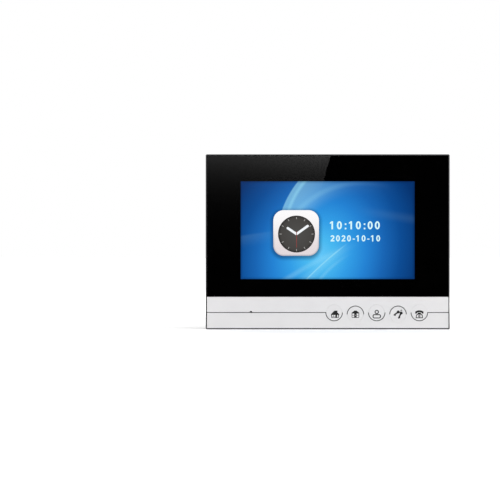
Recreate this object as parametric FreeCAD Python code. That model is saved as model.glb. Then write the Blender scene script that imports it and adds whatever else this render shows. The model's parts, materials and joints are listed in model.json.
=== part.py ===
import FreeCAD, Part
import math
import os

# Wall-hung seven inch video intercom monitor, built piece by piece, in millimetres.
# X runs to the right, Y into the wall and Z up. The origin is on the wall plane, behind the centre of the
# front outline, so the wall is Y = 0 and the room is towards -Y.

V = FreeCAD.Vector

# ---------------------------------------------------------------- driving dimensions
WIDTH = 216.0
HEIGHT = 155.0
DEPTH = 24.0  # wall to front face
SCREEN_W = 154.08  # active area of a 7 inch 16:9 display
SCREEN_H = 86.58
SCREEN_Z = 10.3  # centre of the display above the centre of the outline
SPLIT_Z = -48.75  # edge between the black glass and the light control panel
LINE_Z = -62.6  # accent line of the control panel, and the keys whose arc is below
ARCH_Z = -64.2  # the keys whose arc is above
LINE_W = 0.65
KEY_R = 7.35  # centre line of a key's arc
KEY_PITCH = 18.86
KEY_FIRST_X = 5.7
KEY_NAMES = ("home", "camera", "call", "unlock", "talk")

# ---------------------------------------------------------------- fits and common sizes
FIT_GAP = 0.1  # all round a piece that is glued or clipped in
RUN_GAP = 0.05  # radial, for a wheel on its axle or a screw in its hole
BITE = 0.2  # how far a boss or pin sinks into the wall it grows from
PAST = 1.0  # how far a cutting tool runs past the surface it cuts
BOARD_T = 1.6
SMALL_SCREW_R = 1.25
COVER_SCREW_R = 1.45

# ---------------------------------------------------------------- layers from the front face to the wall
FRONT_Y = -DEPTH
MASK_Y = FRONT_Y + 1.7  # back of the glass
TAPE_Y = MASK_Y + 0.1  # back of the print
SHELF_Y = TAPE_Y + 0.3  # front of the frame's shelf
SHELF_BACK_Y = SHELF_Y + 1.5
LCD_Y = SHELF_BACK_Y + 0.5  # front of the display module, behind its gasket
CELL_Y = LCD_Y + 0.6
LIGHT_Y = LCD_Y + 2.0
LCD_BACK_Y = LCD_Y + 5.7
FRAME_BACK_Y = -14.0
COVER_FRONT_Y = FRAME_BACK_Y + 0.2
KEY_BOARD_Y = -15.8
BOARD_Y = -11.2  # front of the main and side boards
BOARD_BACK_Y = BOARD_Y + BOARD_T
COVER_T = 2.0
COVER_BACK_Y = -0.6
FLOOR_Y = COVER_BACK_Y - COVER_T  # inside face of the rear wall
RECESS_Y = -4.0  # outside face of the bracket recess
RECESS_IN_Y = RECESS_Y - COVER_T

# ---------------------------------------------------------------- outlines seen from the front
X_HALF = WIDTH / 2
Z_HALF = HEIGHT / 2
RIM = 1.0  # frame edge seen round the glass and the panel
FASCIA_X = X_HALF - RIM - FIT_GAP
FASCIA_Z = Z_HALF - RIM - FIT_GAP
SKIRT_T = 2.0
SKIRT_R = 1.5
LCD_W = 165.0
LCD_H = 104.0
LCD_LOW_Z = SCREEN_Z - LCD_H / 2
COVER_X = X_HALF - 1.5
COVER_Z = Z_HALF - 1.5
RECESS_X = 52.0
RECESS_LOW_Z = -45.0
RECESS_TOP_Z = 37.0

# ---------------------------------------------------------------- keys
KEY_BORE_R = KEY_R - LINE_W / 2
KEY_CAP_R = KEY_BORE_R - 0.06
FLANGE_R = KEY_BORE_R + 0.8
FLANGE_Y = SHELF_Y + 0.05
FLANGE_BACK_Y = FLANGE_Y + 0.65
POST_Z = (LINE_Z + ARCH_Z) / 2  # row of key posts and switches
SWITCH_W = 6.2
SWITCH_Y = KEY_BOARD_Y - 3.4
PLUNGER_R = 1.75
PLUNGER_Y = SWITCH_Y - 1.0
KEY_LAST_X = KEY_FIRST_X + (len(KEY_NAMES) - 1) * KEY_PITCH
KEY_BOARD_X = (KEY_FIRST_X - 13.9, KEY_LAST_X + 12.4)
KEY_BOARD_Z = (POST_Z - 9.4, POST_Z + 12.6)

# ---------------------------------------------------------------- microphone and loudspeaker
MIC_X = -67.9
MIC_Z = -62.1
MIC_HOLE_R = 1.0
MIC_R = 3.0
MIC_FRONT_Y = -21.0
MIC_BACK_Y = -16.2
BOOT_R = 4.5
SPEAKER_X = -82.0
SPEAKER_Z = -22.0
SPEAKER_R = 18.0
MAGNET_R = 10.0
SPEAKER_FLANGE_Y = FLOOR_Y - 2.0
SPEAKER_SEAL_Y = FLOOR_Y - 1.0
SPEAKER_MAGNET_Y = SPEAKER_FLANGE_Y - 3.4
SPEAKER_CLAMP = SPEAKER_R + 2.8  # centre of the speaker to its clamping screws
WIRE_R = 0.5

# ---------------------------------------------------------------- boards and their posts
MAIN_X = (-61.5, 66.0)
MAIN_Z = (-38.5, 58.5)
MAIN_INSET = 4.0
SIDE_X = (76.0, 104.2)
SIDE_Z = (-57.0, 63.6)
SIDE_INSET = (4.3, 3.3)
HEADERS = [(-12.0, 4), (3.0, 4), (15.5, 2)]  # centre X and number of pins of each cable socket
HEADER_Z = -2.0
PIN_PITCH = 2.5

# ---------------------------------------------------------------- side controls and memory card
WHEEL_R = 8.7
WHEEL_T = 2.6
WHEEL_X = X_HALF - 0.2 - WHEEL_R
WHEEL_ZS = {"volume_wheel": 48.0, "brightness_wheel": 28.0, "contrast_wheel": 8.0}
POT_T = 2.0
WHEEL_Y = BOARD_BACK_Y + POT_T + 0.3
AXLE_R = 2.0
LEVER_Z = -10.0
LEVER_W = 1.8
LEVER_TRAVEL = 2.0
SWITCH_BODY_T = 3.8
SWITCH_MID_Y = BOARD_BACK_Y + SWITCH_BODY_T / 2
SWITCH_MID_Z = LEVER_Z + LEVER_TRAVEL / 2
CARD_Z = -34.0
CARD_W = 24.0
CARD_L = 32.0
CARD_T = 2.1
CARD_Y = BOARD_BACK_Y + 0.7
CARD_OUT_X = COVER_X + 0.3

# ---------------------------------------------------------------- bracket
BRACKET_T = 1.2
BRACKET_X = 50.0
BRACKET_Z = 35.0
HOOK_X = 44.0
HOOK_ZS = (16.0, -24.0)
HOOK_W = 8.0
HOOK_RISE = 7.2
LIFT = 8.0  # travel that frees the hooks
CABLE_X = 21.5
CABLE_Z = (-16.0, 22.0)
WALL_SCREW_X = 33.0
WALL_SCREW_Z = 28.0
WALL_HOLE_R = 2.25
BOX_SLOT_X = 30.0
BOX_SLOT_R = 2.1
BOX_SLOT_L = 8.0

# ---------------------------------------------------------------- places of repeated pieces, as (x, z)
SIGNS = (-1, 1)
CORNERS = [(sx * (X_HALF - 10.5), sz * (Z_HALF - 9.0)) for sx in SIGNS for sz in SIGNS]
CLAMPS = [(sx * (LCD_W / 2 + 5.5), SCREEN_Z + sz * 40.0) for sx in SIGNS for sz in SIGNS]
MAIN_POSTS = [(x, z) for x in (MAIN_X[0] + MAIN_INSET, MAIN_X[1] - MAIN_INSET)
              for z in (MAIN_Z[0] + MAIN_INSET, MAIN_Z[1] - MAIN_INSET)]
SIDE_POSTS = [(x, z) for x in (SIDE_X[0] + SIDE_INSET[0], SIDE_X[1] - SIDE_INSET[0])
              for z in (SIDE_Z[0] + SIDE_INSET[1], SIDE_Z[1] - SIDE_INSET[1])]
BOARD_POSTS = MAIN_POSTS + SIDE_POSTS
KEY_BOARD_POSTS = [(KEY_BOARD_X[0] + 3.6, KEY_BOARD_Z[1] - 3.2),
                   (KEY_BOARD_X[1] - 2.8, KEY_BOARD_Z[1] - 3.2),
                   (KEY_FIRST_X + 1.5 * KEY_PITCH, KEY_BOARD_Z[0] + 2.8)]
PANEL_PINS = [(-FASCIA_X + 7, SPLIT_Z - 5), (-30.0, -FASCIA_Z + 4), (FASCIA_X - 7, SPLIT_Z - 5),
              (KEY_FIRST_X + 2 * KEY_PITCH, -FASCIA_Z + 3)]
SPEAKER_POSTS = [(SPEAKER_X, SPEAKER_Z + s * SPEAKER_CLAMP) for s in SIGNS]
WALL_SCREWS = [(sx * WALL_SCREW_X, sz * WALL_SCREW_Z) for sx in SIGNS for sz in SIGNS]
PADS = [(sx * (COVER_X - 22.5), sz * (COVER_Z - 14.0)) for sx in SIGNS for sz in SIGNS]


# ---------------------------------------------------------------- shape helpers
def block(x0, x1, y0, y1, z0, z1):
    """A box between two limits on each axis."""
    return Part.makeBox(x1 - x0, y1 - y0, z1 - z0, V(x0, y0, z0))


def centred(x, z, w, h, y0, y1):
    """A box w wide and h high round (x, z)."""
    return block(x - w / 2, x + w / 2, y0, y1, z - h / 2, z + h / 2)


def disc(x, z, r, y0, y1):
    """A cylinder along Y."""
    return Part.makeCylinder(r, y1 - y0, V(x, y0, z), V(0, 1, 0))


def discs(places, r, y0, y1):
    """Equal cylinders along Y."""
    return [disc(x, z, r, y0, y1) for x, z in places]


def cone(x, z, r0, r1, y0, y1):
    """A frustum along Y."""
    return Part.makeCone(r0, r1, y1 - y0, V(x, y0, z), V(0, 1, 0))


def tube(x, z, r_out, r_in, y0, y1):
    """A ring along Y."""
    return disc(x, z, r_out, y0, y1).cut(disc(x, z, r_in, y0, y1))


def is_along_y(edge):
    """True for a straight edge that runs along Y."""
    return isinstance(edge.Curve, (Part.Line, Part.LineSegment)) and abs(edge.Curve.Direction.y) > 0.999


def rounded(solid, r):
    """The solid with its straight edges along Y filleted."""
    return solid.makeFillet(r, [e for e in solid.Edges if is_along_y(e)])


def rim_edges(solid, y):
    """The edges that lie wholly in the plane Y = y."""
    flat = [e for e in solid.Edges if e.BoundBox.YLength < 1e-6]
    return [e for e in flat if abs(e.Vertexes[0].Point.y - y) < 1e-6]


def slot_x(x, z, length, r, y0, y1):
    """A slot with round ends that runs along X."""
    half = length / 2 - r
    middle = block(x - half, x + half, y0, y1, z - r, z + r)
    return middle.fuse(discs([(x - half, z), (x + half, z)], r, y0, y1)).removeSplitter()


def ring_plate(x, z, w, h, w_in, h_in, y0, y1):
    """A flat rectangular frame."""
    return centred(x, z, w, h, y0, y1).cut(centred(x, z, w_in, h_in, y0, y1))


def round_wire(points, start_way, end_way):
    """An insulated lead through the points, leaving and arriving in the given directions."""
    curve = Part.BSplineCurve()
    curve.interpolate([V(*p) for p in points], InitialTangent=V(*start_way), FinalTangent=V(*end_way))
    path = Part.Wire([curve.toShape()])
    section = Part.Wire([Part.makeCircle(WIRE_R, V(*points[0]), V(*start_way))])
    return path.makePipeShell([section], True, True)


def flat_cable(corners, x0, x1, t):
    """A flat cable t thick that runs straight from one (y, z) corner to the next."""
    runs = []
    for (ya, za), (yb, zb) in zip(corners, corners[1:]):
        y_low, y_high = sorted((ya, yb))
        z_low, z_high = sorted((za, zb))
        runs.append(block(x0, x1, y_low - t / 2, y_high + t / 2, z_low - t / 2, z_high + t / 2))
    return runs[0].fuse(runs[1:]).removeSplitter()


def screw(x, z, seat_y, length, towards=-1, head_r=2.3, head_t=1.6, shank_r=SMALL_SCREW_R):
    """A pan head screw whose head rests at seat_y and whose shank runs towards -Y or +Y."""
    recess_deep, recess_w, recess_l = head_t / 2, 0.6, 2.2
    top_y = seat_y - towards * head_t
    head = disc(x, z, head_r, *sorted((seat_y, top_y)))
    head = head.makeFillet(0.5, rim_edges(head, top_y))
    cross = [centred(x, z, w, h, *sorted((top_y, top_y + towards * recess_deep)))
             for w, h in ((recess_l, recess_w), (recess_w, recess_l))]
    shank = disc(x, z, shank_r, *sorted((seat_y, seat_y + towards * length)))
    return head.fuse(shank).cut(cross).removeSplitter()


def group(solids):
    """Loose solids that share one node."""
    return Part.makeCompound(solids)


# ---------------------------------------------------------------- keys and control panel
def key_places():
    """For each key: centre X, centre Z, and the side its arc is on (-1 below, +1 above)."""
    places = []
    for i in range(len(KEY_NAMES)):
        side = -1 if i % 2 == 0 else 1
        places.append((KEY_FIRST_X + i * KEY_PITCH, LINE_Z if side < 0 else ARCH_Z, side))
    return places


def key_centres():
    """Centre of each key as (x, z)."""
    return [(x, z) for x, z, side in key_places()]


def key_cap(x, z):
    """Round cap with a retaining flange, stiffening ribs and the post that presses the switch."""
    bevel, post_r = 0.12, 1.5
    rib_l, rib_w, rib_h = 10.0, 0.8, 0.4
    cap = disc(x, z, KEY_CAP_R, FRONT_Y, FLANGE_Y + BITE)
    cap = cap.makeChamfer(bevel, rim_edges(cap, FRONT_Y))
    flange = disc(x, z, FLANGE_R, FLANGE_Y, FLANGE_BACK_Y)
    post = disc(x, POST_Z, post_r, FLANGE_BACK_Y - BITE, PLUNGER_Y)
    ribs = [centred(x, POST_Z, w, h, FLANGE_BACK_Y - BITE, FLANGE_BACK_Y + rib_h)
            for w, h in ((rib_l, rib_w), (rib_w, rib_l))]
    return cap.fuse([flange, post] + ribs).removeSplitter()


def accent_shapes():
    """The accent line and half rings that fill the panel's grooves, open at keys and microphone hole."""
    y0, y1 = FRONT_Y, FRONT_Y + 0.3
    places = key_places()
    reach = KEY_R + LINE_W
    half_rings = []
    for x, z, side in places:
        ring = tube(x, z, KEY_R + LINE_W / 2, KEY_BORE_R, y0, y1)
        half_rings.append(ring.common(block(x - reach, x + reach, y0, y1, *sorted((z, z + side * reach)))))
    line_z = (LINE_Z - LINE_W / 2, LINE_Z + LINE_W / 2)
    left = block(-FASCIA_X, places[0][0] - KEY_BORE_R, y0, y1, *line_z)
    right = block(places[-1][0] + KEY_BORE_R, FASCIA_X, y0, y1, *line_z)
    half_rings[0] = half_rings[0].fuse(left).removeSplitter()
    half_rings[-1] = half_rings[-1].fuse(right).removeSplitter()
    holes = discs(key_centres(), KEY_BORE_R, y0 - PAST, y1 + PAST)
    holes.append(disc(MIC_X, MIC_Z, MIC_HOLE_R, y0 - PAST, y1 + PAST))
    return [piece for shape in half_rings for piece in shape.cut(holes).Solids]


def control_panel():
    """The light strip under the glass: key bores, accent grooves, microphone hole, locating pins."""
    pin_r = 1.2
    body = block(-FASCIA_X, FASCIA_X, FRONT_Y, SHELF_Y, -FASCIA_Z, SPLIT_Z - FIT_GAP / 2)
    pins = discs(PANEL_PINS, pin_r, SHELF_Y - BITE, SHELF_BACK_Y - FIT_GAP)
    cuts = discs(key_centres(), KEY_BORE_R, FRONT_Y - PAST, SHELF_Y + PAST)
    cuts.append(disc(MIC_X, MIC_Z, MIC_HOLE_R, FRONT_Y - PAST, SHELF_Y + PAST))
    return body.fuse(pins).cut(cuts + accent_shapes()).removeSplitter()


# ---------------------------------------------------------------- front housing
def display_pocket():
    """Wall round the display module, open below for its flat cable."""
    gap, wall, deep, cable_half_w = 0.3, 1.7, 4.2, 14.0
    walls = ring_plate(0, SCREEN_Z, LCD_W + 2 * (gap + wall), LCD_H + 2 * (gap + wall), LCD_W + 2 * gap,
                       LCD_H + 2 * gap, SHELF_BACK_Y - BITE, SHELF_BACK_Y + deep)
    cable_way = block(-cable_half_w, cable_half_w, LCD_Y, SHELF_BACK_Y + deep + PAST,
                      LCD_LOW_Z - gap - wall - PAST, LCD_LOW_Z)
    return walls.cut(cable_way)


def front_frame():
    """Dark front housing: thin rim, shelf behind the fascia, display pocket and bosses."""
    corner_r, bevel, window_margin, boot_wall = 1.2, 0.35, 2.0, 1.5
    corner_boss_r, clamp_boss_r, key_boss_r, pin_hole_r = 3.4, 2.6, 2.4, 1.3
    root_y = SHELF_BACK_Y - BITE
    boss_end_y = BOARD_Y - 0.3
    boot_seat_y = MIC_BACK_Y - 0.8
    small_hole_r = SMALL_SCREW_R + RUN_GAP
    outer = rounded(block(-X_HALF, X_HALF, FRONT_Y, FRAME_BACK_Y, -Z_HALF, Z_HALF), corner_r)
    outer = outer.makeChamfer(bevel, rim_edges(outer, FRONT_Y))
    pocket = block(RIM - X_HALF, X_HALF - RIM, FRONT_Y - PAST, SHELF_Y, RIM - Z_HALF, Z_HALF - RIM)
    cavity = centred(0, 0, WIDTH - 2 * SKIRT_T, HEIGHT - 2 * SKIRT_T, SHELF_BACK_Y, FRAME_BACK_Y + PAST)
    window = centred(0, SCREEN_Z, SCREEN_W + 2 * window_margin, SCREEN_H + 2 * window_margin,
                     SHELF_Y - PAST, SHELF_BACK_Y + PAST)
    adds = [display_pocket(), disc(MIC_X, MIC_Z, BOOT_R + boot_wall, root_y, boot_seat_y)]
    adds += discs(CORNERS, corner_boss_r, root_y, boss_end_y)
    adds += discs(CLAMPS, clamp_boss_r, root_y, LCD_BACK_Y)
    adds += discs(KEY_BOARD_POSTS, key_boss_r, root_y, KEY_BOARD_Y)
    holes = discs(CORNERS, COVER_SCREW_R + RUN_GAP, SHELF_BACK_Y + PAST, boss_end_y + PAST)
    holes += discs(CLAMPS, small_hole_r, SHELF_BACK_Y + PAST, LCD_BACK_Y + PAST)
    holes += discs(KEY_BOARD_POSTS, small_hole_r, SHELF_BACK_Y + PAST, KEY_BOARD_Y + PAST)
    holes += discs(PANEL_PINS, pin_hole_r, SHELF_Y - PAST, SHELF_BACK_Y + PAST)
    holes += discs(key_centres(), FLANGE_R + 0.4, SHELF_Y - PAST, SHELF_BACK_Y + PAST)
    holes.append(disc(MIC_X, MIC_Z, BOOT_R + RUN_GAP, SHELF_Y - PAST, boot_seat_y + PAST))
    return outer.cut([pocket, rounded(cavity, SKIRT_R), window]).fuse(adds).cut(holes).removeSplitter()


# ---------------------------------------------------------------- glass and display
def screen_glass():
    """Clear cover glass of the display, flush with the control panel."""
    glass = block(-FASCIA_X, FASCIA_X, FRONT_Y, MASK_Y, SPLIT_Z + FIT_GAP / 2, FASCIA_Z)
    return glass.makeChamfer(0.2, rim_edges(glass, FRONT_Y))


def print_mask():
    """Black print behind the glass, open over the display."""
    sheet = block(-FASCIA_X, FASCIA_X, MASK_Y, TAPE_Y, SPLIT_Z + FIT_GAP / 2, FASCIA_Z)
    return sheet.cut(centred(0, SCREEN_Z, SCREEN_W, SCREEN_H, MASK_Y, TAPE_Y))


def glass_tape():
    """Double-sided adhesive frame that holds the glass on the shelf."""
    inset, margin = 1.2, 3.0
    sheet = block(inset - FASCIA_X, FASCIA_X - inset, TAPE_Y, SHELF_Y, SPLIT_Z + inset, FASCIA_Z - inset)
    return sheet.cut(centred(0, SCREEN_Z, SCREEN_W + 2 * margin, SCREEN_H + 2 * margin, TAPE_Y, SHELF_Y))


def lcd_gasket():
    """Foam dust seal between the shelf and the display."""
    margin = 2.5
    w_in, h_in = SCREEN_W + 2 * margin, SCREEN_H + 2 * margin
    return ring_plate(0, SCREEN_Z, LCD_W, LCD_H, w_in, h_in, SHELF_BACK_Y, LCD_Y)


def lcd_bezel():
    """Pressed steel frame round the display cell."""
    sheet, margin, cable_half_w = 0.6, 0.8, 12.0
    shell = centred(0, SCREEN_Z, LCD_W, LCD_H, LCD_Y, LCD_BACK_Y)
    inner = centred(0, SCREEN_Z, LCD_W - 2 * sheet, LCD_H - 2 * sheet, CELL_Y, LCD_BACK_Y + PAST)
    window = centred(0, SCREEN_Z, SCREEN_W + 2 * margin, SCREEN_H + 2 * margin, LCD_Y - PAST, CELL_Y)
    cable_slot = block(-cable_half_w, cable_half_w, LIGHT_Y + 0.6, LIGHT_Y + 1.8, LCD_LOW_Z - PAST,
                       LCD_LOW_Z + PAST)
    return shell.cut([inner, window, cable_slot])


def lcd_panel():
    """Liquid crystal cell."""
    edge = 1.5
    return centred(0, SCREEN_Z, LCD_W - 2 * edge, LCD_H - 2 * edge, CELL_Y, LIGHT_Y)


def lcd_backlight():
    """White light guide and reflector tray behind the cell, stepped for the flat cable."""
    edge, cable_half_w = 0.7, 13.0
    tray = centred(0, SCREEN_Z, LCD_W - 2 * edge, LCD_H - 2 * edge, LIGHT_Y, LCD_BACK_Y - FIT_GAP)
    return tray.cut(block(-cable_half_w, cable_half_w, LIGHT_Y, LIGHT_Y + 2.2, LCD_LOW_Z, LCD_LOW_Z + 5.0))


def lcd_clamps():
    """Four steel tabs that hold the display down on its bosses."""
    inner_reach, outer_reach, half_h, sheet, hole_r = 10.0, 4.0, 5.0, 1.0, 1.4
    tabs = []
    for x, z in CLAMPS:
        side = 1 if x > 0 else -1
        ends = sorted((x + side * outer_reach, x - side * inner_reach))
        tab = rounded(block(*ends, LCD_BACK_Y, LCD_BACK_Y + sheet, z - half_h, z + half_h), 1.5)
        tabs.append(tab.cut(disc(x, z, hole_r, LCD_BACK_Y, LCD_BACK_Y + sheet)))
    return group(tabs)


def lcd_screws():
    """Screws of the display clamps."""
    return group([screw(x, z, LCD_BACK_Y + 1.0, 5.0) for x, z in CLAMPS])


def lcd_flex():
    """Flexible flat cable from the display, under the board's edge, to its rear side."""
    t, half_w, sag = 0.2, 10.0, 3.2
    cell_end_y, board_end_y = LIGHT_Y + 1.2, BOARD_BACK_Y + 0.25
    path = [(cell_end_y, LCD_LOW_Z + 4.0), (cell_end_y, LCD_LOW_Z - sag), (board_end_y, LCD_LOW_Z - sag),
            (board_end_y, MAIN_Z[0] + 2.5)]
    return flat_cable(path, -half_w, half_w, t)


def flex_socket():
    """Flat cable socket for the display."""
    half_w, h, low_z = 11.5, 3.9, MAIN_Z[0] + 2.6
    return rounded(block(-half_w, half_w, BOARD_BACK_Y, BOARD_BACK_Y + 1.2, low_z, low_z + h), 0.3)


# ---------------------------------------------------------------- key board, switches, microphone
def key_board():
    """Circuit board behind the keys."""
    board = rounded(block(*KEY_BOARD_X, KEY_BOARD_Y, KEY_BOARD_Y + BOARD_T, *KEY_BOARD_Z), 1.0)
    return board.cut(discs(KEY_BOARD_POSTS, 1.4, KEY_BOARD_Y, KEY_BOARD_Y + BOARD_T))


def key_switches():
    """Housings of the five tact switches."""
    housings = []
    for x, z in key_centres():
        case = rounded(centred(x, POST_Z, SWITCH_W, SWITCH_W, SWITCH_Y, KEY_BOARD_Y), 0.6)
        case = case.makeChamfer(0.25, rim_edges(case, SWITCH_Y))
        housings.append(case.cut(disc(x, POST_Z, PLUNGER_R + RUN_GAP, SWITCH_Y - PAST, SWITCH_Y + 1.8)))
    return group(housings)


def plunger(x):
    """Moving button of one tact switch."""
    stem = disc(x, POST_Z, PLUNGER_R, PLUNGER_Y, SWITCH_Y + 1.0)
    return stem.makeFillet(0.15, rim_edges(stem, PLUNGER_Y))


def key_board_screws():
    """Screws of the key board."""
    return group([screw(x, z, KEY_BOARD_Y + BOARD_T, 5.0) for x, z in KEY_BOARD_POSTS])


def key_ribbon():
    """Ribbon and plugs between the key board and the main board."""
    x, w, plug_w, plug_h = 30.0, 8.0, 10.0, 5.0
    strip_y = (BOARD_Y - 1.7, BOARD_Y - 1.1)
    low_z, high_z = KEY_BOARD_Z[1] - 4.2, MAIN_Z[0] + 2.5
    strip = block(x - w / 2, x + w / 2, *strip_y, low_z - BITE, high_z + BITE)
    plug_x = (x - plug_w / 2, x + plug_w / 2)
    low = block(*plug_x, KEY_BOARD_Y + BOARD_T, strip_y[1] + 0.3, low_z - plug_h, low_z)
    high = block(*plug_x, strip_y[0] - 0.5, BOARD_Y, high_z, high_z + plug_h)
    return strip.fuse([low, high]).removeSplitter()


def microphone():
    """Electret capsule with its sound port."""
    can = disc(MIC_X, MIC_Z, MIC_R, MIC_FRONT_Y, MIC_BACK_Y)
    can = can.makeFillet(0.4, rim_edges(can, MIC_FRONT_Y))
    return can.cut(disc(MIC_X, MIC_Z, 0.7, MIC_FRONT_Y - PAST, MIC_FRONT_Y + 0.6))


def mic_boot():
    """Rubber sleeve that seals the capsule to its hole."""
    sleeve = disc(MIC_X, MIC_Z, BOOT_R, SHELF_Y, MIC_BACK_Y - BITE)
    port = disc(MIC_X, MIC_Z, 1.0, SHELF_Y - PAST, MIC_FRONT_Y + PAST)
    return sleeve.cut([disc(MIC_X, MIC_Z, MIC_R, MIC_FRONT_Y, MIC_BACK_Y), port])


def mic_wires():
    """Two leads and a plug from the capsule to the main board."""
    half_gap, plug_x, plug_w, plug_h, plug_t = 0.9, -50.0, 7.0, 5.0, 2.4
    run_y, plug_z = BOARD_Y - 1.3, MAIN_Z[0] + 2.5
    leads = []
    for dx in (-half_gap, half_gap):
        way = [(MIC_X + dx, MIC_BACK_Y, MIC_Z), (MIC_X + dx, MIC_BACK_Y + 3.0, MIC_Z + 2.0),
               (MIC_X + 8.0 + dx, run_y, MIC_Z + 12.0), (plug_x + dx, run_y, plug_z)]
        leads.append(round_wire(way, (0, 1, 0), (0, 0, 1)))
    plug = centred(plug_x, plug_z + plug_h / 2, plug_w, plug_h, BOARD_Y - plug_t, BOARD_Y)
    return group(leads + [plug])


# ---------------------------------------------------------------- boards in the rear cover
def board(x_ends, z_ends, posts, corner_r):
    """A circuit board with its screw holes."""
    hole_r = 1.4
    return rounded(block(*x_ends, BOARD_Y, BOARD_BACK_Y, *z_ends), corner_r).cut(
        discs(posts, hole_r, BOARD_Y, BOARD_BACK_Y))


def board_screws():
    """Screws that hold both boards on the rear cover's posts."""
    return group([screw(x, z, BOARD_Y, 5.5, towards=1) for x, z in BOARD_POSTS])


def chips():
    """Processor, memory, audio and power chips: centre, width, height and thickness of each."""
    places = [(-18, 24, 14, 14, 1.4), (4, 27, 9, 8, 1.1), (24, 24, 6, 10, 1.5), (42, -6, 5, 6, 1.4),
              (-40, -6, 7, 7, 1.2), (56, 30, 6, 7, 1.6)]
    return group([rounded(centred(x, z, w, h, BOARD_BACK_Y, BOARD_BACK_Y + t), 0.3)
                  for x, z, w, h, t in places])


def capacitors():
    """Round electrolytic capacitors along the top of the board."""
    row_z, height, base_t, small_r, large_r = 48.0, 5.4, 0.9, 2.5, 3.15
    cans = []
    for x, r in ((-48, large_r), (-38, large_r), (-28, small_r), (22, large_r), (32, small_r)):
        foot_w = 2 * r + 0.4
        foot = rounded(centred(x, row_z, foot_w, foot_w, BOARD_BACK_Y, BOARD_BACK_Y + base_t), 0.5)
        can = disc(x, row_z, r, BOARD_BACK_Y + base_t, BOARD_BACK_Y + height)
        can = can.makeFillet(0.4, rim_edges(can, BOARD_BACK_Y + height))
        cans.append(foot.fuse(can))
    return group(cans)


def power_coils():
    """Shielded inductors of the power supply."""
    side, height, mark_r, mark_w = 7.0, 4.0, 2.9, 0.4
    coils = []
    for x, z in ((44, 47), (54, 44)):
        case = rounded(centred(x, z, side, side, BOARD_BACK_Y, BOARD_BACK_Y + height), 1.2)
        top_y = BOARD_BACK_Y + height
        groove = tube(x, z, mark_r, mark_r - mark_w, top_y - mark_w, top_y + PAST)
        coils.append(case.cut(groove))
    return group(coils)


def header_width(pins):
    """Width of a cable socket."""
    return pins * PIN_PITCH + 2.4


def cable_sockets():
    """Sockets for the two door cables and the power cable, open towards the wall."""
    wall, height, base_t = 0.8, 5.8, 1.4
    sockets = []
    for x, pins in HEADERS:
        w = header_width(pins)
        shell = centred(x, HEADER_Z, w, height, BOARD_BACK_Y, RECESS_Y + 0.6)
        bay = centred(x, HEADER_Z, w - 2 * wall, height - 2 * wall, BOARD_BACK_Y + base_t, RECESS_Y + PAST)
        sockets.append(shell.cut(bay))
    return group(sockets)


def socket_pins():
    """Square contact pins of the cable sockets."""
    side, base_t = 0.64, 1.4
    pins = []
    for x, count in HEADERS:
        for i in range(count):
            pin_x = x + (i - (count - 1) / 2) * PIN_PITCH
            pins.append(centred(pin_x, HEADER_Z, side, side, BOARD_BACK_Y + base_t, RECESS_Y))
    return group(pins)


def board_link():
    """Short ribbon with plugs between the main board and the side board."""
    z, plug_w, plug_h, plug_t, inset = 10.0, 5.0, 12.0, 2.2, 0.5
    left_x, right_x = MAIN_X[1] - inset, SIDE_X[0] + inset
    left = centred(left_x - plug_w / 2, z, plug_w, plug_h, BOARD_BACK_Y, BOARD_BACK_Y + plug_t)
    right = centred(right_x + plug_w / 2, z, plug_w, plug_h, BOARD_BACK_Y, BOARD_BACK_Y + plug_t)
    strip = centred((left_x + right_x) / 2, z, right_x - left_x + 2 * inset, plug_h - 2.0,
                    BOARD_BACK_Y + 1.0, BOARD_BACK_Y + 1.5)
    return left.fuse([right, strip]).removeSplitter()


# ---------------------------------------------------------------- side controls and memory card
def wheel_pots():
    """Three potentiometer bases with the axles of the thumbwheels."""
    side, corner_r, axle_past = 11.0, 1.5, 0.4
    pots = []
    for z in WHEEL_ZS.values():
        base = rounded(centred(WHEEL_X - 1.0, z, side, side, BOARD_BACK_Y, BOARD_BACK_Y + POT_T), corner_r)
        axle = disc(WHEEL_X, z, AXLE_R, BOARD_BACK_Y + POT_T - BITE, WHEEL_Y + WHEEL_T + axle_past)
        pots.append(base.fuse(axle).removeSplitter())
    return group(pots)


def thumbwheel(z):
    """A knurled wheel that turns on its potentiometer axle."""
    teeth, notch_r, dish_deep, edge_w, hub_r = 40, 0.45, 0.6, 1.8, 3.4
    back_y = WHEEL_Y + WHEEL_T
    wheel = disc(WHEEL_X, z, WHEEL_R, WHEEL_Y, back_y)
    wheel = wheel.makeChamfer(0.3, rim_edges(wheel, WHEEL_Y) + rim_edges(wheel, back_y))
    ring_r = WHEEL_R + 0.4 * notch_r
    notches = []
    for i in range(teeth):
        angle = 2 * math.pi * i / teeth
        notches.append(disc(WHEEL_X + ring_r * math.cos(angle), z + ring_r * math.sin(angle), notch_r,
                            WHEEL_Y - PAST, back_y + PAST))
    dish = disc(WHEEL_X, z, WHEEL_R - edge_w, back_y - dish_deep, back_y + PAST)
    hub = disc(WHEEL_X, z, hub_r, WHEEL_Y + BITE, back_y)
    bore = disc(WHEEL_X, z, AXLE_R + RUN_GAP, WHEEL_Y - PAST, back_y + PAST)
    return wheel.cut(notches + [dish]).fuse(hub).cut(bore).removeSplitter()


def lever_track(x0, gap, side_gap):
    """The space that the lever of the power switch slides in."""
    half_y = 0.8 + gap
    low_z = LEVER_Z - LEVER_W / 2 - side_gap
    high_z = LEVER_Z + LEVER_TRAVEL + LEVER_W / 2 + side_gap
    return block(x0, COVER_X + PAST, SWITCH_MID_Y - half_y, SWITCH_MID_Y + half_y, low_z, high_z)


def power_switch():
    """Body of the slide switch."""
    x1, w, h = SIDE_X[1] - 0.2, 4.6, 9.0
    body = centred(x1 - w / 2, SWITCH_MID_Z, w, h, BOARD_BACK_Y, BOARD_BACK_Y + SWITCH_BODY_T)
    return body.cut(lever_track(x1 - 2.6, FIT_GAP, 0.4))


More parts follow.
